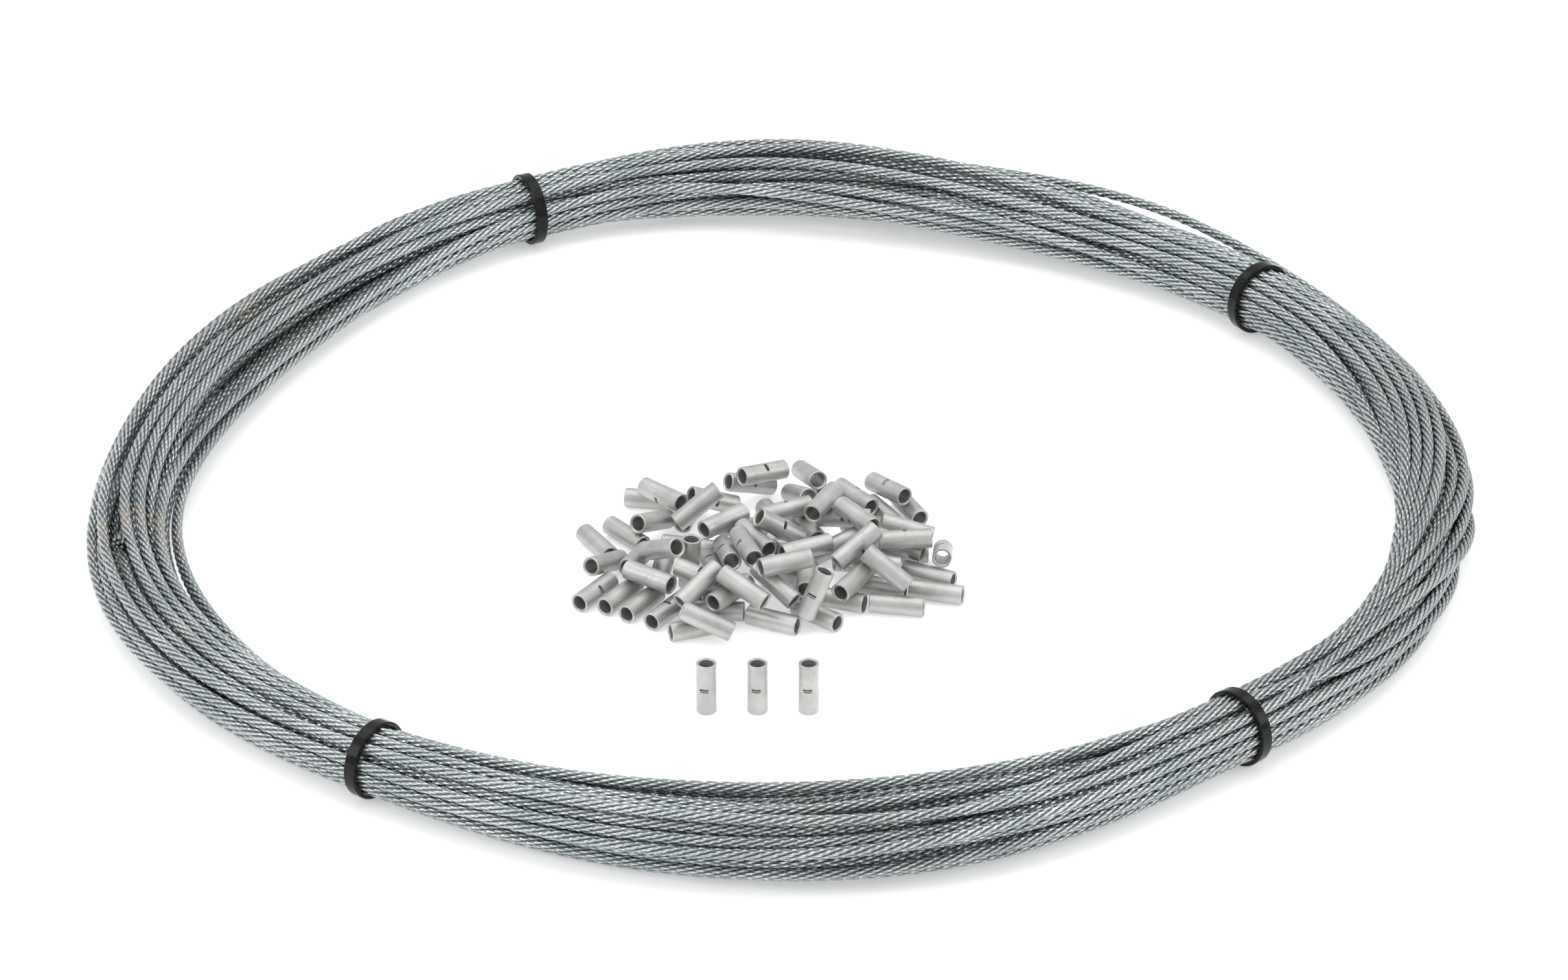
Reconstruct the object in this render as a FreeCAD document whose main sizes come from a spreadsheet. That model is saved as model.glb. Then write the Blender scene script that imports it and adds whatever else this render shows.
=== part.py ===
import FreeCAD, Part
import math
import os
import random
import Sketcher
from FreeCAD import Placement, Rotation, Vector

# A tied coil of galvanised wire rope with a heap of tubular crimp sleeves inside it.
# Frame: millimetres, +Z up, origin on the ground at the middle of the coil, the three upright
# sleeves on the -Y side. Azimuths are degrees from +X, turning towards +Y.

os.makedirs("parts", exist_ok=True)
doc = FreeCAD.newDocument("wire_rope_kit")

# ---- driving dimensions ----------------------------------------------------------------------
DIMENSIONS = {
    "rope_diameter": 3.2,
    "tied_bundle": 18.6,        # bundle of 26 turns where a tie squeezes it round
    "tie_clearance": 0.25,
    "strap_thickness": 1.2,
    "strap_width": 3.6,
    "strap_bevel": 0.3,
    "head_width": 6.4,
    "head_length": 6.6,
    "head_height": 4.6,
    "head_bevel": 0.5,
    "slot_width": 4.0,
    "tail_stub": 0.9,
    "pawl_width": 3.4,
    "pawl_length": 2.6,
    "pawl_inset": 0.7,          # pivot above the outside of the strap
    "pawl_pivot_side": 1.25,    # pivot behind the tail's inner face
    "pawl_knuckle": 0.32,
    "sleeve_length": 15.0,
    "sleeve_outer": 5.5,
    "sleeve_bore": 4.0,
    "sleeve_mouth": 0.35,       # lead-in bevel at each end of the bore
    "sleeve_rim": 0.2,          # broken outer edge at each end
    "window_width": 2.4,        # inspection window at half length
    "window_length": 1.1,
    "lip_depth": 0.2,           # lower lip of the window, pressed into the bore
    "ground_sink": 0.4,         # how much the slack spans flatten where they rest
}

sheet = doc.addObject("Spreadsheet::Sheet", "Sizes")
for row, (alias, value) in enumerate(DIMENSIONS.items(), start=1):
    sheet.set(f"A{row}", alias.replace("_", " "))
    sheet.set(f"B{row}", str(value))
    sheet.setAlias(f"B{row}", alias)
doc.recompute()


def size(alias):
    return float(sheet.get(alias))


# The four ties: azimuth, radius of the bundle's centre there, and where the head sits round the
# bundle (degrees from straight outward, so 210 is inward and a little down, -30 outward and down).
TIES = [
    ("back_left", 115.0, 181.2, -30.0),
    ("back_right", 37.9, 176.5, -30.0),
    ("front_left", 233.6, 181.3, 210.0),
    ("front_right", 312.8, 177.1, 210.0),
]

# The slack bundle between the ties: azimuth, centre radius, radial width and height.
SLACK_SECTIONS = [
    (47, 175.4, 20.5, 20.4), (56, 175.0, 24.0, 21.6), (65, 175.8, 30.0, 23.4),
    (75, 176.8, 35.0, 25.4), (85, 179.2, 35.0, 26.0), (96, 181.9, 29.6, 24.0),
    (105, 183.0, 22.5, 20.8),
    (125, 179.4, 21.5, 19.8), (135, 176.7, 27.5, 20.8), (145, 174.7, 32.0, 21.0),
    (156, 174.6, 32.0, 21.0), (166, 176.0, 30.0, 20.8), (176, 178.3, 28.0, 20.4),
    (187, 182.7, 28.8, 20.2), (198, 184.1, 28.4, 20.0), (210, 183.3, 26.8, 20.0),
    (222, 182.5, 21.9, 19.6),
    (243, 180.3, 21.6, 20.6), (253, 181.8, 25.6, 23.0), (264, 182.2, 28.6, 24.0),
    (276, 184.0, 31.0, 25.6), (288, 182.3, 30.4, 26.0), (297, 178.3, 25.4, 24.0),
    (305, 175.8, 21.2, 20.8),
    (322, 178.8, 19.4, 19.4), (332, 181.0, 19.7, 19.7), (342, 181.8, 20.4, 20.4),
    (350, 182.2, 24.8, 20.8), (358, 182.5, 27.4, 21.0), (368, 180.9, 24.9, 20.8),
    (379, 180.2, 24.6, 20.4), (389, 178.0, 19.4, 19.4),
]
LIFT_REACH = 18.0           # degrees from a tie at which the bundle has come down to the ground
ROUND_MARGIN = 0.0001       # keeps a round section's larger radius the larger one

# The outermost turn passes outside the back right tie: azimuth, radius and height of its points.
LOOSE_TURN = [
    (70.0, 188.3, 16.4),
    (62.3, 190.3, 16.4),
    (53.5, 192.0, 15.5),
    (45.0, 190.5, 14.0),
    (37.6, 190.0, 12.6),
    (28.5, 189.8, 12.2),
    (20.0, 190.0, 12.0),
]

# Upright sleeves: name, x, y, turn about the upright axis.
UPRIGHT_SLEEVES = [
    ("upright_sleeve_left", -20.8, -104.4, -13.0),
    ("upright_sleeve_middle", -7.1, -104.4, -7.0),
    ("upright_sleeve_right", 6.6, -104.4, -6.0),
]

# Sleeves of the heap that lie where they can be seen: x, y and turn about the upright axis. Each
# tier is dropped on what lies there already, after the hidden ones that fill the middle. A sleeve
# that comes to rest above its tier's usual height lies that much nearer the heap's front. A fourth
# value is the slope of a sleeve that stands or leans steeply.
GROUND_TIER = [
    (-52, -47, 55), (-45, -49, 55), (-39, -53, 55), (-32, -57, 55), (-24, -66, 20),
    (-19, -57, -10), (-3, -62, -25), (9, -59, -40), (15, -51, -20), (31, -54, -10),
    (42, -47, -15), (27, -45, -15), (40, -38, -25), (43, -28, -90), (-52, -21, -60),
    (-44, -16, -50), (-26, -31, 0, 86),
]
MIDDLE_TIER = [
    (-48, -38, 50), (-40, -35, 65), (-38, -17, 55), (-37, -5, -15), (-22, -4, 15),
    (35, -8, -65), (28, -12, -60), (18, -3, -45), (33, -20, -5), (34, -28, 10),
    (-9, 4, 30), (-18, -35, -85), (-6, -25, -65), (7, -48, 85),
    (-1, -49, 140), (-37, -47, 145), (-11, -48, -30), (-22, -53, -10), (19, -49, 60),
    (26, -42, -25),
]
TOP_TIER = [
    (-34, -8, -40), (-24, -5, 15), (-7, 5, 30), (8, 4, -65), (4, -5, -70),
    (27, -3, -50), (21, -19, -50), (11, -13, 65), (-3, -8, -70), (-13, -13, 30),
    (0, -17, 25), (6, -31, 25), (-34, -37, -50), (-11, -38, -65), (0, -44, 20),
    (21, -37, 30), (10, -46, 3, 69), (-15, -23, 50), (-1, -24, 20),
]
TIER_HEIGHTS = (2.75, 7.5, 11.5)
FRONT_LEAN = 1.73             # mm towards the front for each mm above the tier's usual height
TIPPING_COST = 0.05           # mm of height a sleeve gives up for each degree it stays level
TURN_STEP = 8.0               # degrees a sleeve may turn away from its place as it settles
TIP_STEP = 14.0               # degrees it may tip at a time
HEAP_CENTRE = (-3.0, -28.0)
HEAP_HALF_WIDTH = 33.0
HEAP_HALF_DEPTH = 25.0
HIDDEN_ON_GROUND = 12
HIDDEN_ABOVE = 9
HEAP_SEED = 11
RIM_POINTS = 20               # points round each sleeve end that feel for contact
HEAP_GAP = 0.16               # room left between sleeves of the heap
LYING_FLAT = 2.9              # a sleeve whose middle is lower than this lies flat on the ground


# ---- helpers ---------------------------------------------------------------------------------
def origin_plane(body, role):
    for feature in body.Origin.OriginFeatures:
        if feature.Role == role:
            return feature
    raise RuntimeError("no origin plane " + role)


def sketch_on(body, name, role, offset=None):
    sketch = body.newObject("Sketcher::SketchObject", name)
    sketch.AttachmentSupport = (origin_plane(body, role), [""])
    sketch.MapMode = "FlatFace"
    if offset is not None:
        sketch.AttachmentOffset = offset
    return sketch


def polygon(sketch, corners):
    """A closed polygon whose corners are (x, y) pairs of expressions of the sheet."""
    values = [(evaluate(x), evaluate(y)) for x, y in corners]
    count = len(corners)
    for i in range(count):
        start = Vector(values[i][0], values[i][1], 0)
        end = Vector(values[(i + 1) % count][0], values[(i + 1) % count][1], 0)
        sketch.addGeometry(Part.LineSegment(start, end), False)
    for i in range(count):
        sketch.addConstraint(Sketcher.Constraint("Coincident", i, 2, (i + 1) % count, 1))
    for i, (x, y) in enumerate(corners):
        place_corner(sketch, i, "X", x, values[i][0])
        place_corner(sketch, i, "Y", y, values[i][1])


def place_corner(sketch, corner, direction, expression, value):
    name = f"corner{corner}{direction}"
    index = sketch.addConstraint(
        Sketcher.Constraint("Distance" + direction, -1, 1, corner, 1, value))
    sketch.renameConstraint(index, name)
    sketch.setExpression("Constraints." + name, bind(expression))


def circle(sketch, radius):
    index = sketch.addGeometry(
        Part.Circle(Vector(0, 0, 0), Vector(0, 0, 1), evaluate(radius)), False)
    sketch.addConstraint(Sketcher.Constraint("Coincident", index, 3, -1, 1))
    rule = sketch.addConstraint(Sketcher.Constraint("Radius", index, evaluate(radius)))
    sketch.renameConstraint(rule, f"radius{index}")
    sketch.setExpression(f"Constraints.radius{index}", bind(radius))


def evaluate(expression):
    """The value of a plain formula of dimension names, worked out from the sheet."""
    total = 0.0
    for sign, factor, alias in terms(expression):
        total += sign * factor * (size(alias) if alias else 1.0)
    return total


def bind(expression):
    """The same formula as a FreeCAD expression."""
    text = ""
    for sign, factor, alias in terms(expression):
        text += " + " if sign > 0 else " - "
        text += f"{factor} * Sizes.{alias}" if alias else f"{factor}"
    return "0" + text


def terms(expression):
    """Each term of a formula is (sign, factor, dimension name or None)."""
    for piece in expression:
        factor, alias = piece if isinstance(piece, tuple) else (piece, None)
        yield (1 if factor >= 0 else -1), abs(factor), alias


def pad(body, name, sketch, length, both_ways=True, reversed_way=False):
    feature = body.newObject("PartDesign::Pad", name)
    feature.Profile = sketch
    feature.Length = evaluate(length)
    feature.setExpression("Length", bind(length))
    feature.Midplane = both_ways
    feature.Reversed = reversed_way
    return feature


def pocket(body, name, sketch, length, both_ways=True, reversed_way=False):
    feature = body.newObject("PartDesign::Pocket", name)
    feature.Profile = sketch
    feature.Length = evaluate(length)
    feature.setExpression("Length", bind(length))
    feature.Midplane = both_ways
    feature.Reversed = reversed_way
    before = feature.BaseFeature.Shape.Volume
    doc.recompute()
    if feature.Shape.Volume >= before - 1e-3:
        raise RuntimeError(name + " removes nothing")
    return feature


# ---- the coil --------------------------------------------------------------------------------
def tie_height():
    return size("tied_bundle") / 2 + size("tie_clearance") + size("strap_thickness")


def bundle_level(azimuth, height):
    """Height of the bundle's centre: a strap's thickness off the ground at a tie, and down on it,
    a little flattened, well away from the ties."""
    gaps = [abs((azimuth - tie[1] + 180) % 360 - 180) for tie in TIES]
    share = min(1.0, min(gaps) / LIFT_REACH)
    share = share * share * (3 - 2 * share)
    lift = tie_height() - size("tied_bundle") / 2
    return height / 2 + lift * (1 - share) - size("ground_sink") * share


def coil_section(index, azimuth, radius, width, height):
    """One elliptical section of the bundle, standing in the radial plane."""
    section = doc.addObject("Part::Ellipse", f"CoilSection{index:02d}")
    section.MajorRadius = width / 2 + ROUND_MARGIN
    section.MinorRadius = height / 2
    turn = Rotation(Vector(0, 0, 1), azimuth).multiply(Rotation(Vector(1, 0, 0), 90))
    angle = math.radians(azimuth)
    section.Placement = Placement(
        Vector(radius * math.cos(angle), radius * math.sin(angle),
               bundle_level(azimuth, height)), turn)
    return section


def make_coil():
    """The outer shape of the whole coil: one closed ring, flat where it rests on the ground."""
    tied = size("tied_bundle")
    rows = SLACK_SECTIONS + [(azimuth, radius, tied, tied) for _, azimuth, radius, _ in TIES]
    first = TIES[0][1]
    rows = sorted(((azimuth - first) % 360 + first, *rest) for azimuth, *rest in rows)
    sections = [coil_section(index, *row) for index, row in enumerate(rows)]
    for section, row in zip(sections, rows):
        if row[2] == tied:
            section.setExpression("MinorRadius", "Sizes.tied_bundle / 2")
            section.setExpression("MajorRadius", f"Sizes.tied_bundle / 2 + {ROUND_MARGIN}")
    ring = doc.addObject("Part::Loft", "CoilRing")
    ring.Sections = sections
    ring.Solid = True
    ring.Ruled = False
    ring.Closed = True
    below = doc.addObject("Part::Box", "BelowGround")
    below.Length = 500
    below.Width = 500
    below.Height = 10
    below.Placement = Placement(Vector(-250, -250, -10), Rotation())
    coil = doc.addObject("Part::Cut", "Coil")
    coil.Base = ring
    coil.Tool = below
    coil.Label = "coil"
    return coil


def rounded_path(points):
    """Straight runs joined by tangent arcs, each arc as large as its two runs allow."""
    edges = []
    radii = []
    here = points[0]
    for before, corner, after in zip(points, points[1:], points[2:]):
        back = before - corner
        ahead = after - corner
        turn = math.pi - back.getAngle(ahead)
        reach = 0.45 * min(back.Length, ahead.Length)
        radius = reach / math.tan(turn / 2)
        radii.append(radius)
        first = corner + Vector(back).normalize() * reach
        last = corner + Vector(ahead).normalize() * reach
        inward = (Vector(back).normalize() + Vector(ahead).normalize()).normalize()
        middle = corner + inward * (radius / math.cos(turn / 2) - radius)
        edges.append(Part.LineSegment(here, first).toShape())
        edges.append(Part.Arc(first, middle, last).toShape())
        here = last
    edges.append(Part.LineSegment(here, points[-1]).toShape())
    return Part.Wire(edges), radii


def make_loose_turn():
    """The stretch of the outermost turn that stands off the bundle past one tie."""
    points = []
    for azimuth, radius, height in LOOSE_TURN:
        angle = math.radians(azimuth)
        points.append(Vector(radius * math.cos(angle), radius * math.sin(angle), height))
    path, radii = rounded_path(points)
    start = points[1] - points[0]
    ring = Part.Circle(points[0], start, size("rope_diameter") / 2).toShape()
    tube = Part.Wire(path.Edges).makePipeShell([Part.Wire([ring])], True, False)
    expected = math.pi * (size("rope_diameter") / 2) ** 2 * path.Length
    print("loose turn: length", round(path.Length, 1), "volume", round(tube.Volume, 1),
          "expected", round(expected, 1), "radii", [round(radius) for radius in radii])
    feature = doc.addObject("Part::Feature", "LooseTurn")
    feature.Shape = tube
    feature.Label = "loose_turn"
    return feature


# ---- cable ties ------------------------------------------------------------------------------
def tie_placement(azimuth, radius):
    angle = math.radians(azimuth)
    centre = Vector(radius * math.cos(angle), radius * math.sin(angle), tie_height())
    return Placement(centre, Rotation(Vector(0, 0, 1), azimuth))


STRAP_INSIDE = [(0.5, "tied_bundle"), (1, "tie_clearance")]
STRAP_OUTSIDE = STRAP_INSIDE + [(1, "strap_thickness")]


def make_tie(name, azimuth, radius, head_angle):
    """Strap, head and cut tail as one moulding. Local X is outward, Y along the bundle, Z up."""
    body = doc.addObject("PartDesign::Body", "Tie_" + name)
    ring = sketch_on(body, "StrapRing_" + name, "XZ_Plane")
    circle(ring, STRAP_INSIDE)
    circle(ring, STRAP_OUTSIDE)
    strap = pad(body, "Strap_" + name, ring, [(1, "strap_width")])
    doc.recompute()
    bevel_strap(body, strap, name)
    turned = Placement(Vector(0, 0, 0), Rotation(Vector(0, 0, 1), head_angle))
    block = sketch_on(body, "HeadBlock_" + name, "XZ_Plane", turned)
    near = STRAP_INSIDE + [0.25]
    far = STRAP_OUTSIDE + [(1, "head_height")]
    half = (0.5, "head_length")
    less = (-0.5, "head_length")
    inset = (-1, "head_bevel")
    polygon(block, [(near, [less]), (far + [inset], [less]), (far, [less, (1, "head_bevel")]),
                    (far, [half, inset]), (far + [inset], [half]), (near, [half])])
    pad(body, "Head_" + name, block, [(1, "head_width")])
    doc.recompute()
    opening = sketch_on(body, "HeadSlot_" + name, "XZ_Plane", turned)
    polygon(opening, [(STRAP_OUTSIDE, [-1.75]), (far + [1.0], [-1.75]),
                      (far + [1.0], [0.15, (1, "strap_thickness")]),
                      (STRAP_OUTSIDE, [0.15, (1, "strap_thickness")])])
    pocket(body, "Slot_" + name, opening, [(1, "slot_width")])
    tail = sketch_on(body, "Tail_" + name, "XZ_Plane", turned)
    root = STRAP_INSIDE + [0.4]
    tip = far + [(1, "tail_stub")]
    polygon(tail, [(root, [0.0001]), (tip, [0.0001]), (tip, [(1, "strap_thickness")]),
                   (root, [(1, "strap_thickness")])])
    pad(body, "TailStub_" + name, tail, [(1, "strap_width")])
    body.Placement = tie_placement(azimuth, radius)
    body.Label = "tie_" + name
    return body


def bevel_strap(body, strap, name):
    """Bevel the two outer edges of the strap."""
    outer = evaluate(STRAP_OUTSIDE)
    edges = []
    for number, edge in enumerate(strap.Shape.Edges, start=1):
        round_edge = hasattr(edge.Curve, "Radius")
        if round_edge and abs(edge.Curve.Radius - outer) < 1e-3:
            edges.append(f"Edge{number}")
    bevel = body.newObject("PartDesign::Chamfer", "StrapBevel_" + name)
    bevel.Base = (strap, edges)
    bevel.Size = size("strap_bevel")
    bevel.setExpression("Size", "Sizes.strap_bevel")
    doc.recompute()


def shifted_plane(head_angle, outward):
    """The head's own plane with its origin moved outward to the pawl's pivot."""
    turn = Rotation(Vector(0, 0, 1), head_angle)
    pivot = Vector(evaluate(outward), -size("pawl_pivot_side"), 0)
    return Placement(turn.multVec(pivot), turn)


def make_pawl(name, azimuth, radius, head_angle):
    """The toothed tongue that bears on the tail inside the head."""
    body = doc.addObject("PartDesign::Body", "Pawl_" + name)
    turned = Placement(Vector(0, 0, 0), Rotation(Vector(0, 0, 1), head_angle))
    pivot = STRAP_OUTSIDE + [(1, "pawl_inset")]
    knuckle = sketch_on(body, "PawlKnuckle_" + name, "XZ_Plane", shifted_plane(head_angle, pivot))
    circle(knuckle, [(1, "pawl_knuckle")])
    pad(body, "Knuckle_" + name, knuckle, [(1, "pawl_width")])
    doc.recompute()
    outline = sketch_on(body, "PawlOutline_" + name, "XZ_Plane", turned)
    step = (0.3, "pawl_length")
    tip = pivot + [(1, "pawl_length")]
    polygon(outline, [(pivot, [-1.5]), (pivot, [-1.0]), (pivot + [step], [-0.62]),
                      (tip + [(-0.25, "pawl_length")], [-0.12]), (tip, [-0.4]), (tip, [-0.95])])
    pad(body, "Tongue_" + name, outline, [(1, "pawl_width")])
    body.Placement = tie_placement(azimuth, radius)
    body.Label = "pawl_" + name
    return body


# ---- crimp sleeves ---------------------------------------------------------------------------
def make_sleeve():
    """One sleeve standing on its axis, centred at the origin, its window towards -Y."""
    body = doc.addObject("PartDesign::Body", "Sleeve")
    wall = sketch_on(body, "SleeveWall", "XZ_Plane")
    bore = [(0.5, "sleeve_bore")]
    outside = [(0.5, "sleeve_outer")]
    top = [(0.5, "sleeve_length")]
    low = [(-0.5, "sleeve_length")]
    mouth = (1, "sleeve_mouth")
    rim = (1, "sleeve_rim")
    polygon(wall, [
        (bore, low + [mouth]), (bore + [mouth], low), (outside + [(-1, "sleeve_rim")], low),
        (outside, low + [rim]), (outside, top + [(-1, "sleeve_rim")]),
        (outside + [(-1, "sleeve_rim")], top), (bore + [mouth], top),
        (bore, top + [(-1, "sleeve_mouth")])])
    tube = body.newObject("PartDesign::Revolution", "SleeveTube")
    tube.Profile = wall
    tube.ReferenceAxis = (wall, ["V_Axis"])
    tube.Angle = 360
    doc.recompute()
    window = sketch_on(body, "SleeveWindow", "XZ_Plane")
    side = (0.5, "window_width")
    edge = (0.5, "window_length")
    left = [(-0.5, "window_width")]
    down = [(-0.5, "window_length")]
    polygon(window, [(left, down), ([side], down), ([side], [edge]), (left, [edge])])
    pocket(body, "Window", window, [(1, "sleeve_outer")], False, True)
    inside = evaluate([(0.5, "sleeve_bore"), (-1, "lip_depth")])
    plane = Placement(Vector(0, 0, inside), Rotation())
    tongue = sketch_on(body, "LipOutline", "XZ_Plane", plane)
    polygon(tongue, [([(-0.5, "window_width"), 0.05], [(-0.5, "window_length"), -0.3]),
                     ([(0.5, "window_width"), -0.05], [(-0.5, "window_length"), -0.3]),
                     ([(0.5, "window_width"), -0.05], [-0.15]),
                     ([(-0.5, "window_width"), 0.05], [-0.15])])
    pad(body, "WindowLip", tongue, [(1, "lip_depth"), 0.3], False)
    body.Label = "sleeve_pattern"
    return body


def place_sleeve(name, pattern, placement):
    feature = doc.addObject("Part::Feature", name)
    feature.Shape = pattern.Shape.copy()
    feature.Label = name
    feature.Placement = placement
    return feature


# ---- the heap --------------------------------------------------------------------------------
# Each sleeve comes straight down until it touches the ground or a sleeve below it, and then
# turns, tips and shifts a little wherever that brings its middle lower. Because each came down
# from straight above, each can be lifted straight off once those on top of it are gone.
HALF = size("sleeve_length") / 2 + HEAP_GAP / 2
ROUND = size("sleeve_outer") / 2 + HEAP_GAP / 2


class Pose:
    """A sleeve's axis and the points round its two ends, with its middle at height z."""

    def __init__(self, x, y, yaw, pitch, z=0.0):
        self.x, self.y, self.z, self.yaw, self.pitch = x, y, z, yaw, pitch
        turn, tip = math.radians(yaw), math.radians(pitch)
        self.axis = (math.cos(turn) * math.cos(tip), math.sin(turn) * math.cos(tip), math.sin(tip))
        ax, ay, az = self.axis
        side = (-math.sin(turn), math.cos(turn), 0.0)
        up = (-math.cos(turn) * math.sin(tip), -math.sin(turn) * math.sin(tip), math.cos(tip))
        self.rim = []
        for end in (-HALF, HALF):
            for step in range(RIM_POINTS):
                angle = 2 * math.pi * step / RIM_POINTS
                a, b = ROUND * math.cos(angle), ROUND * math.sin(angle)
                self.rim.append((end * ax + a * side[0] + b * up[0],
                                 end * ay + a * side[1] + b * up[1],
                                 end * az + b * up[2]))
        self.floor = HALF * abs(az) + ROUND * math.cos(tip)

    def span_at(self, dx, dy):
        """Lowest and highest point, from the middle's height, on an upright line past it."""
        ax, ay, az = self.axis
        along = dx * ax + dy * ay
        a = 1 - az * az
        half_b = along * az
        rest = half_b * half_b - a * (dx * dx + dy * dy - along * along - ROUND * ROUND)
        if rest <= 0:
            return None
        root = math.sqrt(rest)
        low, high = (half_b - root) / a, (half_b + root) / a
        if abs(az) < 1e-9:
            return (low, high) if abs(along) <= HALF else None
        first, last = sorted(((-HALF - along) / az, (HALF - along) / az))
        low, high = max(low, first), min(high, last)
        return (low, high) if low < high else None


def rest_height(upper, lower):
    """How high the upper sleeve's middle must be to clear the lower one, or None if beside it."""
    if math.hypot(upper.x - lower.x, upper.y - lower.y) > 2 * (HALF + ROUND):
        return None
    needed = []
    for ox, oy, oz in upper.rim:
        span = lower.span_at(upper.x + ox - lower.x, upper.y + oy - lower.y)
        if span:
            needed.append(lower.z + span[1] - oz)
    for ox, oy, oz in lower.rim:
        span = upper.span_at(lower.x + ox - upper.x, lower.y + oy - upper.y)
        if span:
            needed.append(lower.z + oz - span[0])
    crossing = crossing_height(upper, lower)
    if crossing is not None:
        needed.append(crossing)
    return max(needed) if needed else None


def crossing_height(upper, lower):
    """Height at which the two round walls touch where they cross, if they cross."""
    a, b = upper.axis, lower.axis
    cross = (a[1] * b[2] - a[2] * b[1], a[2] * b[0] - a[0] * b[2], a[0] * b[1] - a[1] * b[0])
    length = math.sqrt(cross[0] ** 2 + cross[1] ** 2 + cross[2] ** 2)
    if length < 1e-6 or abs(cross[2]) < 1e-3 * length:
        return None
    sign = 1 if cross[2] > 0 else -1
    normal = [sign * value / length for value in cross]
    dx, dy = upper.x - lower.x, upper.y - lower.y
    rise = (2 * ROUND - dx * normal[0] - dy * normal[1]) / normal[2]
    gap = (dx, dy, rise)
    ab = a[0] * b[0] + a[1] * b[1] + a[2] * b[2]
    ga = gap[0] * a[0] + gap[1] * a[1] + gap[2] * a[2]
    gb = gap[0] * b[0] + gap[1] * b[1] + gap[2] * b[2]
    scale = 1 - ab * ab
    on_upper = (ab * gb - ga) / scale
    on_lower = (gb - ab * ga) / scale
    if abs(on_upper) > HALF or abs(on_lower) > HALF:
        return None
    return lower.z + rise


def dropped(x, y, yaw, pitch, lying):
    """The pose of a sleeve that has come straight down on the ground and the others."""
    pose = Pose(x, y, yaw, pitch)
    pose.z = pose.floor
    for other in lying:
        needed = rest_height(pose, other)
        if needed is not None and needed > pose.z:
            pose.z = needed
    return pose


def leaned(x, y, yaw, pitch, usual, lying):
    """The same for a sleeve whose place is given at its tier's usual height."""
    height = usual
    for _ in range(4):
        pose = dropped(x, y - FRONT_LEAN * (height - usual), yaw, pitch, lying)
        height = (height + pose.z) / 2
    return dropped(x, y - FRONT_LEAN * (height - usual), yaw, pitch, lying)


def settle(place, usual, lying, dice, reach, tries):
    """Drop a sleeve near its place, then let it find a lower way to lie within its reach."""
    x0, y0, yaw0, *steep = place
    room = 2 * (HALF + ROUND) + 3 * reach
    near = [other for other in lying if math.hypot(other.x - x0, other.y - y0) < room]
    best = None
    for pitch in steep or range(-48, 49, 12):
        pose = leaned(x0, y0, yaw0, pitch, usual, near)
        score = pose.z + TIPPING_COST * abs(pitch)
        if best is None or score < best[0]:
            best = (score, pose, x0, y0)
    for attempt in range(tries):
        ease = 1 - attempt / (tries + 2)
        _, pose, x, y = best
        x += dice.uniform(-1, 1) * reach * ease
        y += dice.uniform(-1, 1) * reach * ease
        yaw = pose.yaw + dice.uniform(-1, 1) * TURN_STEP * ease
        pitch = pose.pitch if steep else pose.pitch + dice.uniform(-1, 1) * TIP_STEP * ease
        moved = math.hypot(x - x0, y - y0)
        if moved > 1.6 * reach or abs(yaw - yaw0) > TURN_STEP:
            continue
        trial = leaned(x, y, yaw, pitch, usual, near)
        score = trial.z + 0.1 * moved + TIPPING_COST * abs(pitch)
        if score < best[0]:
            best = (score, trial, x, y)
    return best[1]


def hidden_place(dice):
    """A place in the middle of the heap for a sleeve that others will cover."""
    angle = dice.uniform(0, 2 * math.pi)
    share = math.sqrt(dice.uniform(0, 1))
    return (HEAP_CENTRE[0] + HEAP_HALF_WIDTH * share * math.cos(angle),
            HEAP_CENTRE[1] + HEAP_HALF_DEPTH * share * math.sin(angle),
            dice.uniform(0, 180))


def pile_up():
    """Every tier's sleeves in the order in which they came down."""
    dice = random.Random(HEAP_SEED)
    tiers = [
        [(place, 1.5) for place in GROUND_TIER]
        + [(hidden_place(dice), 5.0) for _ in range(HIDDEN_ON_GROUND)],
        [(hidden_place(dice), 5.0) for _ in range(HIDDEN_ABOVE)]
        + [(place, 1.5) for place in MIDDLE_TIER],
        [(place, 1.5) for place in TOP_TIER],
    ]
    lying = []
    piled = []
    for tier, usual in zip(tiers, TIER_HEIGHTS):
        poses = []
        for place, reach in tier:
            pose = settle(place, usual, lying, dice, reach, 26)
            pose.roll = dice.uniform(0, 360)
            lying.append(pose)
            poses.append(pose)
        piled.append(poses)
    return piled


def lies_alone(pose, everyone):
    """Nothing lies on this sleeve and it lies on nothing but the ground."""
    if pose.z > LYING_FLAT:
        return False
    for other in everyone:
        if other is pose:
            continue
        if rest_height(pose, other) is not None or rest_height(other, pose) is not None:
            return False
    return True


def lies_uncovered(pose, everyone):
    """None of the sleeves that came down later lies on this one."""
    later = everyone[everyone.index(pose) + 1:]
    return all(rest_height(other, pose) is None for other in later)


def sleeve_placement(pose):
    roll = Rotation(Vector(0, 0, 1), pose.roll)
    lay_down = Rotation(Vector(0, 1, 0), 90 - pose.pitch)
    turn = Rotation(Vector(0, 0, 1), pose.yaw)
    return Placement(Vector(pose.x, pose.y, pose.z), turn.multiply(lay_down).multiply(roll))


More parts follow.
